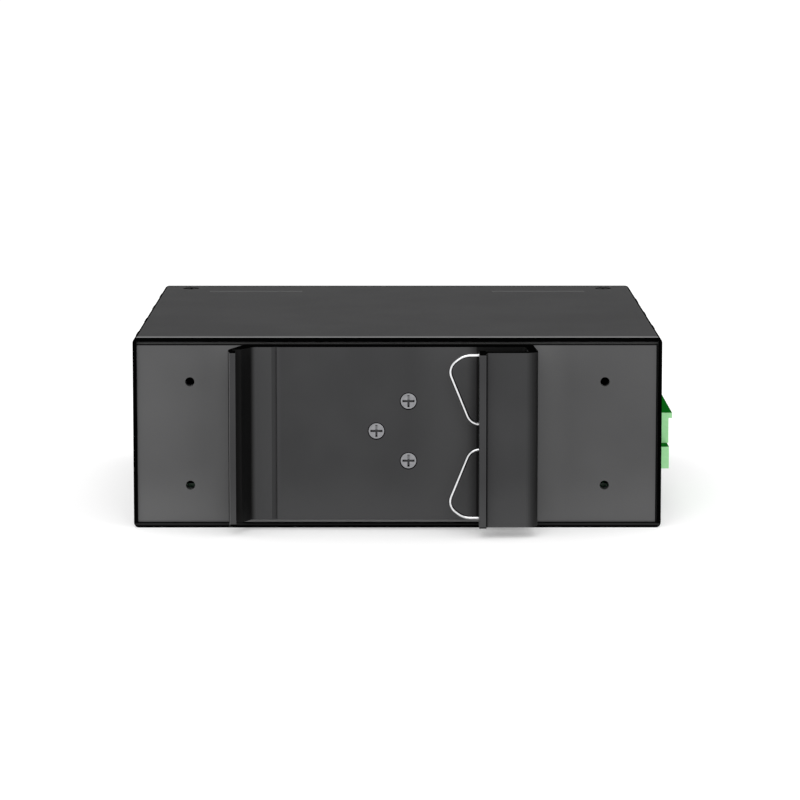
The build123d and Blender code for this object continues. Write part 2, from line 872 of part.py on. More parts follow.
def make_lamp_holder():
    """The black holder of the light pipes, standing on the board."""
    places = lamp_places()
    x = (places[0][0] - lamp_holder_margin, places[-1][0] + lamp_holder_margin)
    holder = block(x, lamp_holder_y(), (board_top, places[-1][1] + lamp_holder_margin))
    rear_edge = holder.edges().filter_by(Axis.X).group_by(Axis.Z)[-1].sort_by(Axis.Y)[0]
    holder = chamfer(rear_edge, lamp_holder_slant)
    y = lamp_holder_y()[1]
    for x, z in places:
        holder -= rod_y(x, z, (y - lamp_pipe_embed, y + 1), lamp_radius + thread_gap)
    return holder


def make_lamp_lenses():
    """Six light pipes with bevelled ends, through the front wall."""
    back = lamp_holder_y()[1] - lamp_pipe_embed
    lenses = []
    for x, z in lamp_places():
        pipe = rod_y(x, z, (back, face_y + lamp_proud), lamp_radius)
        tip = pipe.faces().sort_by(Axis.Y)[-1].edges()
        lenses.append(chamfer(tip, lamp_tip_edge))
    return joined(lenses)


def pole_places():
    """Y of the terminal's poles."""
    first = terminal_back_y + terminal_end_wall + pole_pitch / 2
    return [first + i * pole_pitch for i in range(pole_count)]


def plug_blocks(rear, grow):
    """The terminal plug's two stacked blocks, with a gap all round where it is asked for."""
    upper = block((rear, end_x + terminal_proud), (terminal_back_y - grow, terminal_front_y + grow),
                  (step_z - grow, terminal_z[1] + grow))
    lower_y = (terminal_back_y - lower_extra - grow, terminal_front_y + grow)
    lower = block((rear, end_x + lower_proud), lower_y, (terminal_z[0] - grow, step_z + grow))
    return upper + lower


def make_terminal_plug():
    """The green plug: stepped body, lip along its top, wire entries and screw wells."""
    plug = plug_blocks(plug_rear_x, 0)
    lip_x = (end_x + lip_proud - lip_reach, end_x + lip_proud)
    lip_z = (terminal_z[1] - lip_height, terminal_z[1])
    plug += block(lip_x, (terminal_back_y, terminal_front_y), lip_z)
    half = entry_size / 2
    pin = pin_size / 2 + pin_slack
    for y in pole_places():
        plug -= block((entry_x - entry_depth, entry_x + 1), (y - half, y + half),
                      (entry_z - half, entry_z + half))
        plug -= block((plug_rear_x - 1, entry_x - entry_depth + pin), (y - pin, y + pin),
                      (entry_z - pin, entry_z + pin))
        plug -= rod_x(y, driver_z, (driver_x - driver_depth, driver_x + 1), driver_radius)
        bore = (driver_x - driver_depth - screw_length, driver_x)
        plug -= rod_x(y, driver_z, bore, screw_shaft_radius + screw_gap)
    return plug


def make_terminal_header():
    """The green header on the board, with a pocket that takes the plug."""
    y = (terminal_back_y - lower_extra - header_gap - header_wall, terminal_front_y + header_gap + header_wall)
    header = block((header_back_x, header_front_x), y, (board_top, terminal_z[1] + header_gap + header_wall))
    header -= plug_blocks(plug_rear_x - header_rear_gap, header_gap)
    pin = pin_size / 2
    for place in pole_places():
        header -= block((header_back_x - 1, plug_rear_x), (place - pin, place + pin),
                        (entry_z - pin, entry_z + pin))
    return header


def make_terminal_pins():
    """Six right-angle pins from the board through the header into the plug."""
    half = pin_size / 2
    pins = []
    for y in pole_places():
        across = block((pin_tail_x - half, pin_tip_x), (y - half, y + half), (entry_z - half, entry_z + half))
        down = block((pin_tail_x - half, pin_tail_x + half), (y - half, y + half),
                     (board_bottom - pin_through, entry_z + half))
        pins.append(across + down)
    return joined(pins)


def make_terminal_clamps():
    """Six clamp cages behind the wire entries."""
    half = entry_size / 2 - clamp_gap
    back = entry_x - entry_depth
    cages = []
    for y in pole_places():
        cage = block((back, back + clamp_length), (y - half, y + half), (entry_z - half, entry_z + half))
        cages.append(cage - rod_x(y, entry_z, (back - 1, back + clamp_length + 1), clamp_bore_radius))
    return joined(cages)


def make_terminal_screws():
    """Six slotted clamp screws in their wells."""
    seat = driver_x - driver_depth
    top = seat + screw_head_height
    slot_z = (driver_z - slot_width / 2, driver_z + slot_width / 2)
    screws = []
    for y in pole_places():
        head = rod_x(y, driver_z, (seat, top), screw_head_radius)
        shaft = (seat - screw_length + screw_end_gap, seat + screw_end_gap)
        screw = head + rod_x(y, driver_z, shaft, screw_shaft_radius)
        across = (y - screw_head_radius, y + screw_head_radius)
        screws.append(screw - block((top - slot_depth, top + 1), across, slot_z))
    return joined(screws)


def make_switch_chip():
    """The flat chip that converts the signal, with legs on all four sides."""
    half = chip_body / 2
    body = block((chip_x - half, chip_x + half), (chip_y - half, chip_y + half),
                 (board_top + chip_lift, board_top + chip_lift + chip_height))
    body = chamfer(body.edges().group_by(Axis.Z)[-1], chip_edge)
    first = -leg_pitch * (chip_legs - 1) / 2
    across = half + leg_reach
    for i in range(chip_legs):
        place = first + i * leg_pitch
        bar = (place - leg_width / 2, place + leg_width / 2)
        leg_z = (board_top, board_top + leg_thick)
        body += block((chip_x + bar[0], chip_x + bar[1]), (chip_y - across, chip_y + across), leg_z)
        body += block((chip_x - across, chip_x + across), (chip_y + bar[0], chip_y + bar[1]), leg_z)
    return body


def make_magnetics_module():
    """The transformer module behind the network socket."""
    half = module_length / 2
    wide = module_width / 2
    body = block((socket_x - half, socket_x + half), (module_y - wide, module_y + wide),
                 (board_top, board_top + module_height))
    return chamfer(body.edges().group_by(Axis.Z)[-1], module_edge)


def make_power_inductor():
    """The shielded coil of the power supply."""
    half = coil_size / 2
    body = block((coil_x - half, coil_x + half), (coil_y - half, coil_y + half),
                 (board_top, board_top + coil_height))
    body = chamfer(body.edges().filter_by(Axis.Z), coil_edge)
    top = board_top + coil_height
    return body - rod_z(coil_x, coil_y, (top - coil_dish, top + 1), coil_size / 4)


def make_capacitors():
    """Can capacitors on square feet."""
    cans = []
    for i in range(can_count):
        x = can_last_x - i * can_pitch
        foot = block((x - can_radius, x + can_radius), (can_y - can_radius, can_y + can_radius),
                     (board_top, board_top + can_base))
        can = rod_z(x, can_y, (board_top + can_base, board_top + can_height), can_radius)
        cans.append(foot + chamfer(can.faces().sort_by(Axis.Z)[-1].edges(), can_edge))
    return joined(cans)


def make_crystal():
    """The metal can of the clock crystal."""
    outline = SlotOverall(crystal_length, crystal_width, rotation=90)
    can = Pos(crystal_x, crystal_y, board_top) * extrude(outline, crystal_height)
    return chamfer(can.faces().sort_by(Axis.Z)[-1].edges(), crystal_edge)


def make_voltage_regulator():
    """The small regulator chip with its legs."""
    half = regulator_length / 2
    wide = regulator_width / 2
    body = block((regulator_x - half, regulator_x + half), (regulator_y - wide, regulator_y + wide),
                 (board_top + regulator_lift, board_top + regulator_height))
    leg = (regulator_y - wide - regulator_leg_reach, regulator_y + wide + regulator_leg_reach)
    first = regulator_x - regulator_leg_pitch * (regulator_legs - 1) / 2
    for i in range(regulator_legs):
        x = (first + i * regulator_leg_pitch - regulator_leg_width / 2,
             first + i * regulator_leg_pitch + regulator_leg_width / 2)
        body += block(x, leg, (board_top, board_top + leg_thick))
    return body


def make_input_fuse():
    """The fuse of the power input, with a metal cap on each end."""
    half = fuse_length / 2
    wide = fuse_width / 2
    body = block((fuse_x - wide, fuse_x + wide), (fuse_y - half, fuse_y + half),
                 (board_top, board_top + fuse_height))
    waist = half - fuse_cap
    for side in (-1, 1):
        x = sorted((fuse_x + side * (wide - fuse_waist_depth), fuse_x + side * (wide + 1)))
        body -= block(x, (fuse_y - waist, fuse_y + waist), (board_top - 1, board_top + fuse_height + 1))
    return body


parts = {
    "case_sleeve": make_case_sleeve(),
    "chassis_tray": make_chassis_tray(),
    "cover_screws": make_cover_screws(),
    "rail_clip": make_rail_clip(),
    "rail_spring": make_rail_spring(),
    "clip_screws": make_clip_screws(),
    "clip_nuts": make_clip_nuts(),
    "mount_nuts": make_mount_nuts(),
    "circuit_board": make_circuit_board(),
    "board_posts": make_board_posts(),
    "board_screws": make_board_screws(),
    "rj45_shield": make_rj45_shield(),
    "rj45_insert": make_rj45_insert(),
    "rj45_contacts": make_rj45_contacts(),
    "fiber_transceiver": make_fiber_transceiver(),
    "fiber_ferrules": make_fiber_ferrules(),
    "transceiver_pins": make_transceiver_pins(),
    "fiber_dust_plug": make_fiber_dust_plug(),
    "lamp_holder": make_lamp_holder(),
    "lamp_lenses": make_lamp_lenses(),
    "terminal_header": make_terminal_header(),
    "terminal_pins": make_terminal_pins(),
    "terminal_plug": make_terminal_plug(),
    "terminal_clamps": make_terminal_clamps(),
    "terminal_screws": make_terminal_screws(),
    "switch_chip": make_switch_chip(),
    "magnetics_module": make_magnetics_module(),
    "power_inductor": make_power_inductor(),
    "capacitors": make_capacitors(),
    "clock_crystal": make_crystal(),
    "voltage_regulator": make_voltage_regulator(),
    "input_fuse": make_input_fuse(),
}

os.makedirs("parts", exist_ok=True)
for name, shape in parts.items():
    export_step(shape, f"parts/{name}.step")
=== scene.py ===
import bpy
import math
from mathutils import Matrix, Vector


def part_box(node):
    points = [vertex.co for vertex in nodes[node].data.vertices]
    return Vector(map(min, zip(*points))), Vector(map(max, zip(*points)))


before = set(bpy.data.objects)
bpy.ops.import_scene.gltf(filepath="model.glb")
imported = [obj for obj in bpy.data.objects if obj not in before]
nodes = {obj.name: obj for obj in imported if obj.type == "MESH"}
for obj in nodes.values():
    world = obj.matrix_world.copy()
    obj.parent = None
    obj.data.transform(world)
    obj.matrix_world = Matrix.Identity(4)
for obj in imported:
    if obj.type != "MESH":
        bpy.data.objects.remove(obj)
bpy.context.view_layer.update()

# The camera: where the photograph was taken from, in metres
camera_back = 0.4476
camera_height = 0.0854
camera_lens = 145.5
camera_shift = -0.15
camera_side = -0.0003
aim = Vector((0.00036, 0.0, 0.0181))

# Places in the frame that the materials need, in metres; a pair runs from start to end
sleeve_low, sleeve_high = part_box("case_sleeve")
top_z = sleeve_high.z - 0.0006
bend_z = sleeve_high.z - 0.001
edge_highlight_y = (sleeve_low.y + 0.0015, sleeve_low.y + 0.0006)
edge_reach = 0.00001
crease_y = 0.0239
crease_x = 0.0221
crease_half = 0.0072
crease_reach = 0.0006
cover_screw_x = 0.03258
cover_screw_y = 0.0281
cover_screw_reach = 0.0013
rim_highlight_z = (0.00034, 0.00058)
panel_upper_z = (0.02577, 0.02602)
panel_lower_z = 0.00073
panel_right_x = 0.03620
panel_shade_x = (0.0, 0.032)
panel_shade = 0.14
left_of_clip_x = (-0.0275, -0.0235)
right_of_clip_x = (0.0247, 0.0195)
under_clip_z = 0.00106
under_clip_x = (-0.0215, 0.0120)
left_flange_x = -0.0198
groove_run = 0.0014
beside_step_x = (-0.0160, -0.0172)
lit_plate_x = (0.001, 0.009)
lip_shade_x = (0.0095, 0.0112)
left_tip_y = -0.0388
plate_y = -0.0365
hook_lip_x = 0.0112
channel_x = (hook_lip_x - 0.0003, hook_lip_x - 0.0001)
seam_x = (0.01210, 0.01242)
seam_y = (-0.0410, -0.0370)
foot_light_z = (0.0095, 0.0008)
screw_places = ((0.00154, 0.018255), (0.00154, 0.009855), (-0.00293, 0.014055))
screw_seat = 0.00122
upper_arm_raise = 0.00056
upper_arm_reach = 0.0004
recess_y = (-0.03402, -0.03390)


def new_material(name):
    """A material with a principled shader; returns it with its node tree and the shader."""
    material = bpy.data.materials.new(name)
    material.use_nodes = True
    tree = material.node_tree
    return material, tree, tree.nodes["Principled BSDF"]


def object_place(tree, stretch=(1, 1, 1)):
    """The point on the object, stretched along each axis."""
    place = tree.nodes.new("ShaderNodeTexCoord")
    mapping = tree.nodes.new("ShaderNodeMapping")
    mapping.inputs["Scale"].default_value = stretch
    tree.links.new(place.outputs["Object"], mapping.inputs["Vector"])
    return mapping.outputs["Vector"]


def noise(tree, vector, scale, detail=3.0, roughness=0.5):
    """A noise texture's factor."""
    node = tree.nodes.new("ShaderNodeTexNoise")
    node.inputs["Scale"].default_value = scale
    node.inputs["Detail"].default_value = detail
    node.inputs["Roughness"].default_value = roughness
    tree.links.new(vector, node.inputs["Vector"])
    return node.outputs["Fac"]


def ramp(tree, factor, low, high, start, end):
    """A factor turned into a colour between two others."""
    node = tree.nodes.new("ShaderNodeValToRGB")
    node.color_ramp.elements[0].position = start
    node.color_ramp.elements[1].position = end
    node.color_ramp.elements[0].color = (*low, 1)
    node.color_ramp.elements[1].color = (*high, 1)
    tree.links.new(factor, node.inputs["Fac"])
    return node.outputs["Color"]


def math_node(tree, operation, first, second):
    """A math node on two sockets or numbers."""
    node = tree.nodes.new("ShaderNodeMath")
    node.operation = operation
    for index, value in enumerate((first, second)):
        if isinstance(value, (int, float)):
            node.inputs[index].default_value = value
        else:
            tree.links.new(value, node.inputs[index])
    return node.outputs["Value"]


def mix(tree, factor, first, second):
    """Two colours mixed by a factor; each colour is a socket or three numbers."""
    node = tree.nodes.new("ShaderNodeMix")
    node.data_type = "RGBA"
    tree.links.new(factor, node.inputs["Factor"])
    for name, value in (("A", first), ("B", second)):
        socket = [s for s in node.inputs if s.name == name and s.type == "RGBA"][0]
        if isinstance(value, tuple):
            socket.default_value = (*value, 1)
        else:
            tree.links.new(value, socket)
    return [s for s in node.outputs if s.type == "RGBA"][0]


def parts_of(tree, vector):
    """The three numbers of a vector."""
    node = tree.nodes.new("ShaderNodeSeparateXYZ")
    tree.links.new(vector, node.inputs[0])
    return node.outputs


def true_normal(tree):
    """The face's own normal."""
    return tree.nodes.new("ShaderNodeNewGeometry").outputs["True Normal"]


def rising(tree, value, start, end):
    """A factor that rises smoothly from 0 to 1 between two values."""
    node = tree.nodes.new("ShaderNodeMapRange")
    node.interpolation_type = "SMOOTHSTEP"
    node.inputs["From Min"].default_value = start
    node.inputs["From Max"].default_value = end
    tree.links.new(value, node.inputs["Value"])
    return node.outputs["Result"]


def near_value(tree, value, middle, reach):
    """1 where a value lies within a reach of the middle, otherwise 0."""
    away = math_node(tree, "ABSOLUTE", math_node(tree, "SUBTRACT", value, middle), 0.0)
    return math_node(tree, "LESS_THAN", away, reach)


def between(tree, value, start, end):
    """1 where a value lies between two others, otherwise 0."""
    return near_value(tree, value, (start + end) / 2, (end - start) / 2)


def product(tree, first, *others):
    """Factors multiplied with each other."""
    for other in others:
        first = math_node(tree, "MULTIPLY", first, other)
    return first


def near_point(tree, first, second, place, reach):
    """1 where two coordinates lie within a reach of a point, otherwise 0."""
    away_first = math_node(tree, "SUBTRACT", first, place[0])
    away_second = math_node(tree, "SUBTRACT", second, place[1])
    square = math_node(tree, "ADD", math_node(tree, "MULTIPLY", away_first, away_first),
                       math_node(tree, "MULTIPLY", away_second, away_second))
    return math_node(tree, "LESS_THAN", square, reach ** 2)


def bump(tree, shader, height, strength, distance):
    """A bump from a height."""
    node = tree.nodes.new("ShaderNodeBump")
    node.inputs["Strength"].default_value = strength
    node.inputs["Distance"].default_value = distance
    tree.links.new(height, node.inputs["Height"])
    tree.links.new(node.outputs["Normal"], shader.inputs["Normal"])


def spread(tree, shader, factor, low, high):
    """A roughness that varies between two values."""
    node = tree.nodes.new("ShaderNodeMapRange")
    node.inputs["To Min"].default_value = low
    node.inputs["To Max"].default_value = high
    tree.links.new(factor, node.inputs["Value"])
    tree.links.new(node.outputs["Result"], shader.inputs["Roughness"])


def powder_coat(name, dark, light, specular, rough_low, rough_high):
    """Fine matt powder coat with a faint grain; returns the pieces to build on."""
    material, tree, shader = new_material(name)
    place = object_place(tree)
    cloud = noise(tree, place, 90.0, 2.0)
    grain = noise(tree, place, 5200.0, 2.0, 0.6)
    colour = ramp(tree, cloud, dark, light, 0.35, 0.65)
    spread(tree, shader, grain, rough_low, rough_high)
    shader.inputs["Specular IOR Level"].default_value = specular
    bump(tree, shader, grain, 0.25, 0.00004)
    return material, tree, shader, place, colour


def sleeve_material():
    """The sleeve's coat: a painted highlight along its upper back edge and on its creases, and
    painted shade around the cover screws.
    """
    material, tree, shader, place, colour = powder_coat(
        "sleeve_coat", (0.0262, 0.0262, 0.0267), (0.0302, 0.0302, 0.0307), 0.04, 0.62, 0.74)
    x, y, z = parts_of(tree, place)
    along = math_node(tree, "ABSOLUTE", x, 0.0)
    top = math_node(tree, "GREATER_THAN", z, top_z)
    # Painted highlight: a light band along the upper back edge of the top, made ragged by noise.
    highlight_wobble = math_node(tree, "MULTIPLY", noise(tree, place, 500.0, 2.0), 0.0003)
    line = rising(tree, math_node(tree, "SUBTRACT", y, highlight_wobble), *edge_highlight_y)
    colour = mix(tree, product(tree, top, line), colour, (0.16, 0.16, 0.161))
    # Painted highlight: lighter lines on the creases of the top.
    crease_highlight = product(tree, top, near_value(tree, along, crease_x, crease_half),
                     near_value(tree, y, crease_y, crease_reach))
    colour = mix(tree, crease_highlight, colour, (0.082, 0.082, 0.083))
    # Painted shade: a near-black disc around each cover screw on the top.
    cover_seat_shade = near_point(tree, along, y, (cover_screw_x, cover_screw_y), cover_screw_reach)
    colour = mix(tree, product(tree, top, cover_seat_shade), colour, (0.001, 0.001, 0.001))
    tree.links.new(colour, shader.inputs["Base Color"])
    return material


def edge_shade_material(name, line):
    """Painted shade for cut edges and bends: flat black, with a painted highlight as a grey line
    between two heights if it is given.
    """
    material, tree, shader = new_material(name)
    place = object_place(tree)
    grain = noise(tree, place, 4000.0, 2.0)
    colour = ramp(tree, grain, (0.0005, 0.0005, 0.0005), (0.0012, 0.0012, 0.0012), 0.3, 0.7)
    if line:
        x, y, z = parts_of(tree, place)
        # Painted highlight: a grey line on the rim between two heights.
        colour = mix(tree, between(tree, z, *line), colour, (0.018, 0.018, 0.018))
    tree.links.new(colour, shader.inputs["Base Color"])
    spread(tree, shader, grain, 0.85, 0.95)
    shader.inputs["Specular IOR Level"].default_value = 0.0
    return material


def tray_material():
    """The tray's coat, lighter than the sleeve's; on its back wall, painted light towards the foot
    and next to and below the clip, painted shade towards the right end and in black lines along
    its edges, and a painted highlight on its upper bend.
    """
    material, tree, shader, place, colour = powder_coat(
        "tray_coat", (0.075, 0.075, 0.076), (0.083, 0.083, 0.084), 0.08, 0.55, 0.65)
    x, y, z = parts_of(tree, place)
    plain = colour
    # Painted light: the back wall lighter towards its foot, against the shade near the floor.
    colour = mix(tree, rising(tree, z, *foot_light_z), colour, (0.098, 0.098, 0.099))
    # Painted shade: the back wall darker towards its right end.
    right_end_shade = product(tree, rising(tree, x, *panel_shade_x), panel_shade)
    colour = mix(tree, right_end_shade, colour, (0.0, 0.0, 0.0))
    # Painted light: the back wall lighter to each side of the clip, against the shade there.
    lit_beside_clip = product(tree, rising(tree, x, *left_of_clip_x),
                     math_node(tree, "LESS_THAN", x, 0.0))
    colour = mix(tree, lit_beside_clip, colour, (0.095, 0.095, 0.096))
    lit_beside_clip = product(tree, rising(tree, x, *right_of_clip_x),
                     math_node(tree, "GREATER_THAN", x, 0.0))
    colour = mix(tree, lit_beside_clip, colour, (0.10, 0.10, 0.101))
    # Painted highlight: a light strip on the back wall below the clip's foot.
    lit_below_clip = product(tree, between(tree, z, 0.0, under_clip_z), between(tree, x, *under_clip_x))
    colour = mix(tree, lit_below_clip, colour, (0.24, 0.24, 0.24))
    # Painted shade: black lines along the bottom, right and upper edges of the back wall.
    dark = math_node(tree, "LESS_THAN", z, panel_lower_z)
    dark = math_node(tree, "MAXIMUM", dark, math_node(tree, "GREATER_THAN", x, panel_right_x))
    dark = math_node(tree, "MAXIMUM", dark, between(tree, z, *panel_upper_z))
    colour = mix(tree, dark, colour, (0.0015, 0.0015, 0.0015))
    # Painted highlight: a grey strip on the upper bend above the black line.
    pale = math_node(tree, "GREATER_THAN", z, panel_upper_z[1])
    colour = mix(tree, pale, colour, (0.075, 0.075, 0.075))
    back = math_node(tree, "LESS_THAN", y, 0.0)
    tree.links.new(mix(tree, back, plain, colour), shader.inputs["Base Color"])
    return material


def near_screws(tree, x, z, upwards, reach):
    """1 within a reach of a point above each of the three clip screws."""
    inside = None
    for screw_x, screw_z in screw_places:
        disc = near_point(tree, x, z, (screw_x, screw_z + upwards), reach)
        inside = disc if inside is None else math_node(tree, "MAXIMUM", inside, disc)
    return inside


def clip_material():
    """Black anodised aluminium with faint draw lines; painted light towards its foot and on parts
    of the plate, painted shade in its screw seats, slopes and recesses and close to the hook's
    lip; its ends take the flat black edge shade.
    """
    material, tree, shader = new_material("clip_anodised")
    place = object_place(tree)
    lines = noise(tree, object_place(tree, (1, 1, 0.01)), 3800.0, 2.0)
    cloud = noise(tree, place, 120.0, 2.0)
    colour = ramp(tree, cloud, (0.0315, 0.0315, 0.0325), (0.0355, 0.0355, 0.0365), 0.35, 0.65)
    x, y, z = parts_of(tree, place)
    nx, ny, nz = parts_of(tree, true_normal(tree))
    # Painted light: the clip lighter towards its foot, against the shade near the floor.
    colour = mix(tree, rising(tree, z, *foot_light_z), colour, (0.045, 0.045, 0.046))
    plate = math_node(tree, "GREATER_THAN", y, plate_y)
    # Painted light: the plate lighter next to the step, against the shade there.
    lit_beside_step = product(tree, plate, rising(tree, x, *beside_step_x))
    colour = mix(tree, lit_beside_step, colour, (0.042, 0.042, 0.043))
    # Painted light: the outward faces of the left flange lighter, though they lie in shade.
    lit_flank = product(tree, rising(tree, nx, -0.2, -0.8),
                    math_node(tree, "LESS_THAN", x, left_flange_x))
    colour = mix(tree, lit_flank, colour, (0.10, 0.10, 0.101))
    # Painted light: the plate lighter towards the hook, against the shade there.
    lit_plate = product(tree, plate, rising(tree, x, *lit_plate_x))
    colour = mix(tree, lit_plate, colour, (0.050, 0.050, 0.051))
    # Painted shade: the plate darker close to the hook's lip.
    lip_shade = product(tree, plate, rising(tree, x, *lip_shade_x))
    colour = mix(tree, lip_shade, colour, (0.020, 0.020, 0.0205))
    # Painted shade, near black: in the groove by the left flange, in the channel by the lip, on
    # faces turned to +X, along the seam next to the lip and around the screw heads.
    groove = product(tree, rising(tree, x, left_flange_x, left_flange_x - groove_run),
                     math_node(tree, "GREATER_THAN", y, left_tip_y))
    channel = product(tree, plate, rising(tree, x, *channel_x))
    dark = math_node(tree, "MAXIMUM", rising(tree, nx, 0.0, 0.9), groove)
    dark = math_node(tree, "MAXIMUM", dark, channel)
    seam = product(tree, between(tree, x, *seam_x), between(tree, y, *seam_y))
    dark = math_node(tree, "MAXIMUM", dark, product(tree, seam, 0.8))
    dark = math_node(tree, "MAXIMUM", dark, near_screws(tree, x, z, 0.0, screw_seat))
    colour = mix(tree, dark, colour, (0.0015, 0.0015, 0.0015))
    tree.links.new(colour, shader.inputs["Base Color"])
    shader.inputs["Specular IOR Level"].default_value = 0.12
    spread(tree, shader, lines, 0.45, 0.57)
    bump(tree, shader, lines, 0.18, 0.00003)
    return material


def screw_material():
    """Zinc plate, with painted shade down in the cross recess and painted light in its upper arm.
    """
    material, tree, shader = new_material("plated_screw")
    place = object_place(tree)
    marks = noise(tree, place, 2600.0, 3.0)
    colour = ramp(tree, marks, (0.22, 0.22, 0.23), (0.275, 0.275, 0.285), 0.3, 0.7)
    x, y, z = parts_of(tree, place)
    # Painted shade in the cross recess, with painted light in its upper arm.
    recess = rising(tree, y, *recess_y)
    deep = mix(tree, near_screws(tree, x, z, upper_arm_raise, upper_arm_reach),
               (0.05, 0.05, 0.052), (0.19, 0.19, 0.197))
    tree.links.new(mix(tree, recess, colour, deep), shader.inputs["Base Color"])
    shader.inputs["Metallic"].default_value = 1.0
    spread(tree, shader, marks, 0.36, 0.48)
    bump(tree, shader, marks, 0.1, 0.00003)
    return material


def wire_material():
    """Bright drawn wire, with painted shade on its sides."""
    material, tree, shader = new_material("spring_wire")
    marks = noise(tree, object_place(tree), 3000.0, 3.0)
    nx, ny, nz = parts_of(tree, true_normal(tree))
    # Painted shade: faces that do not look along Y are dark.
    bright = rising(tree, math_node(tree, "ABSOLUTE", ny, 0.0), 0.7, 0.97)
    colour = ramp(tree, marks, (0.66, 0.66, 0.67), (0.80, 0.80, 0.81), 0.3, 0.7)
    tree.links.new(mix(tree, bright, (0.06, 0.06, 0.063), colour), shader.inputs["Base Color"])
    shader.inputs["Metallic"].default_value = 1.0
    spread(tree, shader, marks, 0.16, 0.26)
    bump(tree, shader, marks, 0.1, 0.00003)
    return material


def metal(name, colour, rough_low, rough_high, scale, stretch=(1, 1, 1), strength=0.1):
    """A bare or plated metal with fine marks."""
    material, tree, shader = new_material(name)
    marks = noise(tree, object_place(tree, stretch), scale, 3.0)
    low = tuple(c * 0.88 for c in colour)
    tree.links.new(ramp(tree, marks, low, colour, 0.3, 0.7), shader.inputs["Base Color"])
    shader.inputs["Metallic"].default_value = 1.0
    spread(tree, shader, marks, rough_low, rough_high)
    bump(tree, shader, marks, strength, 0.00003)
    return material


def plastic(name, dark, light, rough_low, rough_high, scale=2500.0, specular=0.5, strength=0.15):
    """A moulded plastic with a fine skin."""
    material, tree, shader = new_material(name)
    place = object_place(tree)
    skin = noise(tree, place, scale, 3.0)
    tree.links.new(ramp(tree, skin, dark, light, 0.3, 0.7), shader.inputs["Base Color"])
    spread(tree, shader, skin, rough_low, rough_high)
    shader.inputs["Specular IOR Level"].default_value = specular
    bump(tree, shader, skin, strength, 0.00003)
    return material


def terminal_material(name, dark, light, specular):
    """Satin moulded plastic of the terminal: its own deep green, or a lighter copy of it for
    painted light.
    """
    material, tree, shader = new_material(name)
    skin = noise(tree, object_place(tree), 3000.0, 3.0)
    tree.links.new(ramp(tree, skin, dark, light, 0.3, 0.7), shader.inputs["Base Color"])
    spread(tree, shader, skin, 0.55, 0.65)
    shader.inputs["Specular IOR Level"].default_value = specular
    bump(tree, shader, skin, 0.12, 0.00003)
    return material


def lamp_material():
    """Frosted clear light pipe."""
    material, tree, shader = new_material("lamp_frosted")
    cloud = noise(tree, object_place(tree), 1800.0, 2.0)
    colour = ramp(tree, cloud, (0.50, 0.56, 0.53), (0.62, 0.68, 0.65), 0.3, 0.7)
    tree.links.new(colour, shader.inputs["Base Color"])
    shader.inputs["Transmission Weight"].default_value = 0.35
    spread(tree, shader, cloud, 0.22, 0.32)
    return material


def board_material():
    """Green solder mask with a faint pattern of copper tracks beneath."""
    material, tree, shader = new_material("board_mask")
    tracks = tree.nodes.new("ShaderNodeTexBrick")
    tracks.inputs["Scale"].default_value = 420.0
    tracks.inputs["Color1"].default_value = (0.012, 0.10, 0.035, 1)
    tracks.inputs["Color2"].default_value = (0.016, 0.13, 0.045, 1)
    tracks.inputs["Mortar"].default_value = (0.008, 0.075, 0.026, 1)
    tree.links.new(object_place(tree), tracks.inputs["Vector"])
    tree.links.new(tracks.outputs["Color"], shader.inputs["Base Color"])
    skin = noise(tree, object_place(tree), 900.0)
    spread(tree, shader, skin, 0.3, 0.4)
    return material


def dress(names, material):
    """Gives a material to CAD nodes."""
    for name in names:
        data = nodes[name].data
        if not data.materials:
            data.materials.append(material)
        for index in range(len(data.materials)):
            data.materials[index] = material


def dress_faces(name, material, chosen):
    """Gives one more material to the faces of a CAD node that a test chooses."""
    data = nodes[name].data
    data.materials.append(material)
    for face in data.polygons:
        if chosen(face):
            face.material_index = len(data.materials) - 1


def at_sleeve_end(face):
    """Whether a face is the sleeve's cut edge."""
    return abs(abs(face.center.y) - sleeve_high.y) < edge_reach


def at_top_bend(face):
    """Whether a face belongs to the outer part of the sleeve's upper bends."""
    return abs(face.normal.x) > 0.3 and face.normal.z > 0.08 and face.center.z > bend_z


def at_clip_end(face):
    """Whether a face is where the clip was cut to length."""
    return abs(face.normal.z) > 0.5


def faces_back(face):
    """Whether a face looks to the back."""
    return face.normal.y < -0.5


def faces_end(face):
    """Whether a face looks to the terminal end."""
    return face.normal.x > 0.5


# Painted shade: flat black for the sleeve's rim and its upper side bends, and for the clip's cut
# ends.
edge_shade = edge_shade_material("edge_shade", None)
dress(["case_sleeve"], sleeve_material())
dress_faces("case_sleeve", edge_shade_material("sleeve_end_shade", rim_highlight_z), at_sleeve_end)
dress_faces("case_sleeve", edge_shade, at_top_bend)
dress(["chassis_tray"], tray_material())
dress(["rail_clip"], clip_material())
dress_faces("rail_clip", edge_shade, at_clip_end)
dress(["rail_spring"], wire_material())
dress(["clip_screws"], screw_material())
dress(["clip_nuts", "mount_nuts", "board_posts", "board_screws", "terminal_screws"],
      metal("plated_steel", (0.56, 0.56, 0.58), 0.3, 0.42, 1800.0))
dress(["cover_screws"],
      plastic("black_oxide", (0.002, 0.002, 0.002), (0.004, 0.004, 0.004), 0.5, 0.6, 1800.0, 0.1))
dress(["rj45_shield", "transceiver_pins", "terminal_pins", "terminal_clamps", "clock_crystal"],
      metal("tin_plate", (0.74, 0.74, 0.73), 0.22, 0.34, 1500.0, (1, 0.1, 1)))
dress(["rj45_contacts"], metal("gold_flash", (0.83, 0.60, 0.24), 0.2, 0.3, 1500.0))
dress(["capacitors"], metal("drawn_can", (0.68, 0.68, 0.70), 0.25, 0.35, 1500.0))
dress(["circuit_board"], board_material())
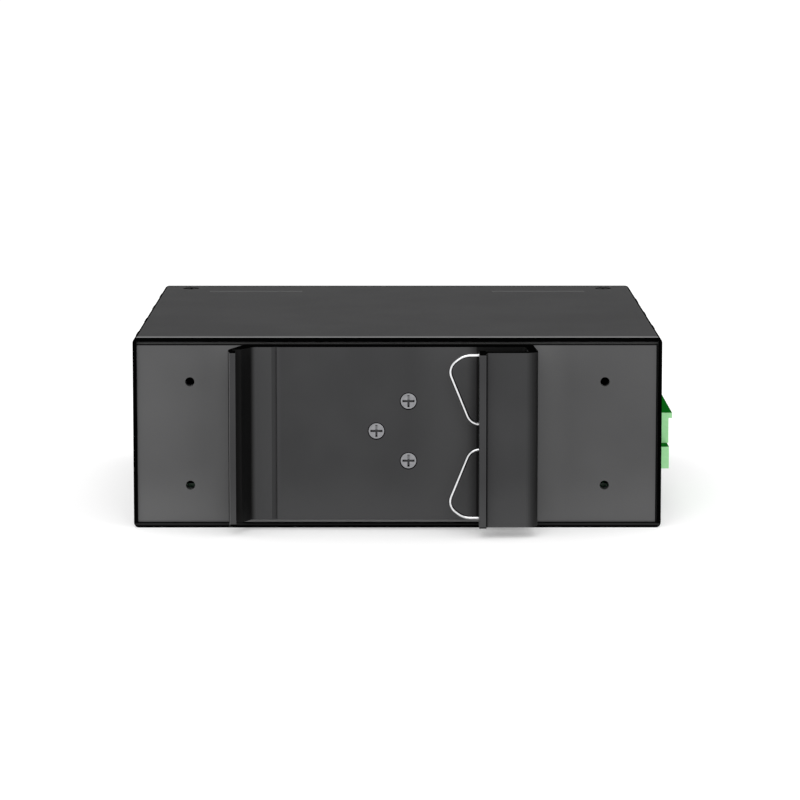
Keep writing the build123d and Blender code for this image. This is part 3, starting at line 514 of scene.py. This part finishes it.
dress(["rj45_insert", "fiber_transceiver", "lamp_holder", "switch_chip", "magnetics_module",
       "voltage_regulator", "input_fuse", "power_inductor"],
      plastic("black_moulding", (0.013, 0.013, 0.014), (0.019, 0.019, 0.020), 0.42, 0.55))
dress(["fiber_dust_plug"],
      plastic("plug_rubber", (0.010, 0.010, 0.011), (0.015, 0.015, 0.016), 0.6, 0.75, 1800.0, 0.3))
dress(["fiber_ferrules"],
      plastic("white_ceramic", (0.78, 0.77, 0.73), (0.84, 0.83, 0.80), 0.15, 0.2))
dress(["lamp_lenses"], lamp_material())
dress(["terminal_plug", "terminal_header"],
      terminal_material("terminal_deep", (0.004, 0.12, 0.008), (0.005, 0.14, 0.011), 0.0))
# Painted light: the back faces get a lit copy of the green.
lit_green = terminal_material("terminal_lit", (0.38, 0.77, 0.38), (0.41, 0.83, 0.41), 0.05)
dress_faces("terminal_plug", lit_green, faces_back)
# Painted light: the end faces get a half-lit copy of the green.
half_lit_green = terminal_material("terminal_half_lit", (0.03, 0.34, 0.05), (0.04, 0.38, 0.06), 0.2)
dress_faces("terminal_plug", half_lit_green, faces_end)


def add_floor():
    """A wide plain floor just under the case."""
    half = 6.0
    data = bpy.data.meshes.new("floor")
    corners = [(-half, -half, 0), (half, -half, 0), (half, half, 0), (-half, half, 0)]
    data.from_pydata(corners, [], [(0, 1, 2, 3)])
    floor = bpy.data.objects.new("floor", data)
    bpy.context.scene.collection.objects.link(floor)
    material, tree, shader = new_material("floor_white")
    shader.inputs["Base Color"].default_value = (0.735, 0.735, 0.735, 1)
    shader.inputs["Roughness"].default_value = 0.8
    shader.inputs["Specular IOR Level"].default_value = 0.0
    shader.inputs["Emission Color"].default_value = (1, 1, 1, 1)
    shader.inputs["Emission Strength"].default_value = 0.3
    data.materials.append(material)


def add_light(name, place, target, size, power):
    """A soft square light."""
    data = bpy.data.lights.new(name, "AREA")
    data.shape = "SQUARE"
    data.size = size
    data.energy = power
    lamp = bpy.data.objects.new(name, data)
    lamp.location = place
    lamp.rotation_euler = (Vector(target) - Vector(place)).to_track_quat("-Z", "Y").to_euler()
    bpy.context.scene.collection.objects.link(lamp)


def add_world(strength):
    """An even white surround."""
    world = bpy.data.worlds.new("surround")
    world.use_nodes = True
    world.node_tree.nodes["Background"].inputs["Color"].default_value = (1, 1, 1, 1)
    world.node_tree.nodes["Background"].inputs["Strength"].default_value = strength
    bpy.context.scene.world = world


def add_camera():
    """The camera behind the case, looking slightly down on it."""
    data = bpy.data.cameras.new("camera")
    data.lens = camera_lens
    data.shift_y = camera_shift
    data.dof.use_dof = False
    camera = bpy.data.objects.new("camera", data)
    target = Vector((aim.x, sleeve_low.y, aim.z))
    camera.location = (camera_side, sleeve_low.y - camera_back, camera_height)
    down = math.atan2(camera_height - target.z, camera_back)
    down -= math.atan(-camera_shift * data.sensor_width / data.lens)
    across = math.atan2(target.x - camera_side, camera_back)
    camera.rotation_euler = (math.pi / 2 - down, 0, -across)
    bpy.context.scene.collection.objects.link(camera)
    bpy.context.scene.camera = camera


add_floor()
add_world(1.05)
add_light("key", (-0.1, -1.1, 0.9), (0, 0, 0), 0.9, 7.0)
add_light("fill", (0.9, -0.7, 0.6), (0, 0, 0), 0.8, 1.0)
add_camera()
bpy.context.scene.view_settings.view_transform = "Standard"
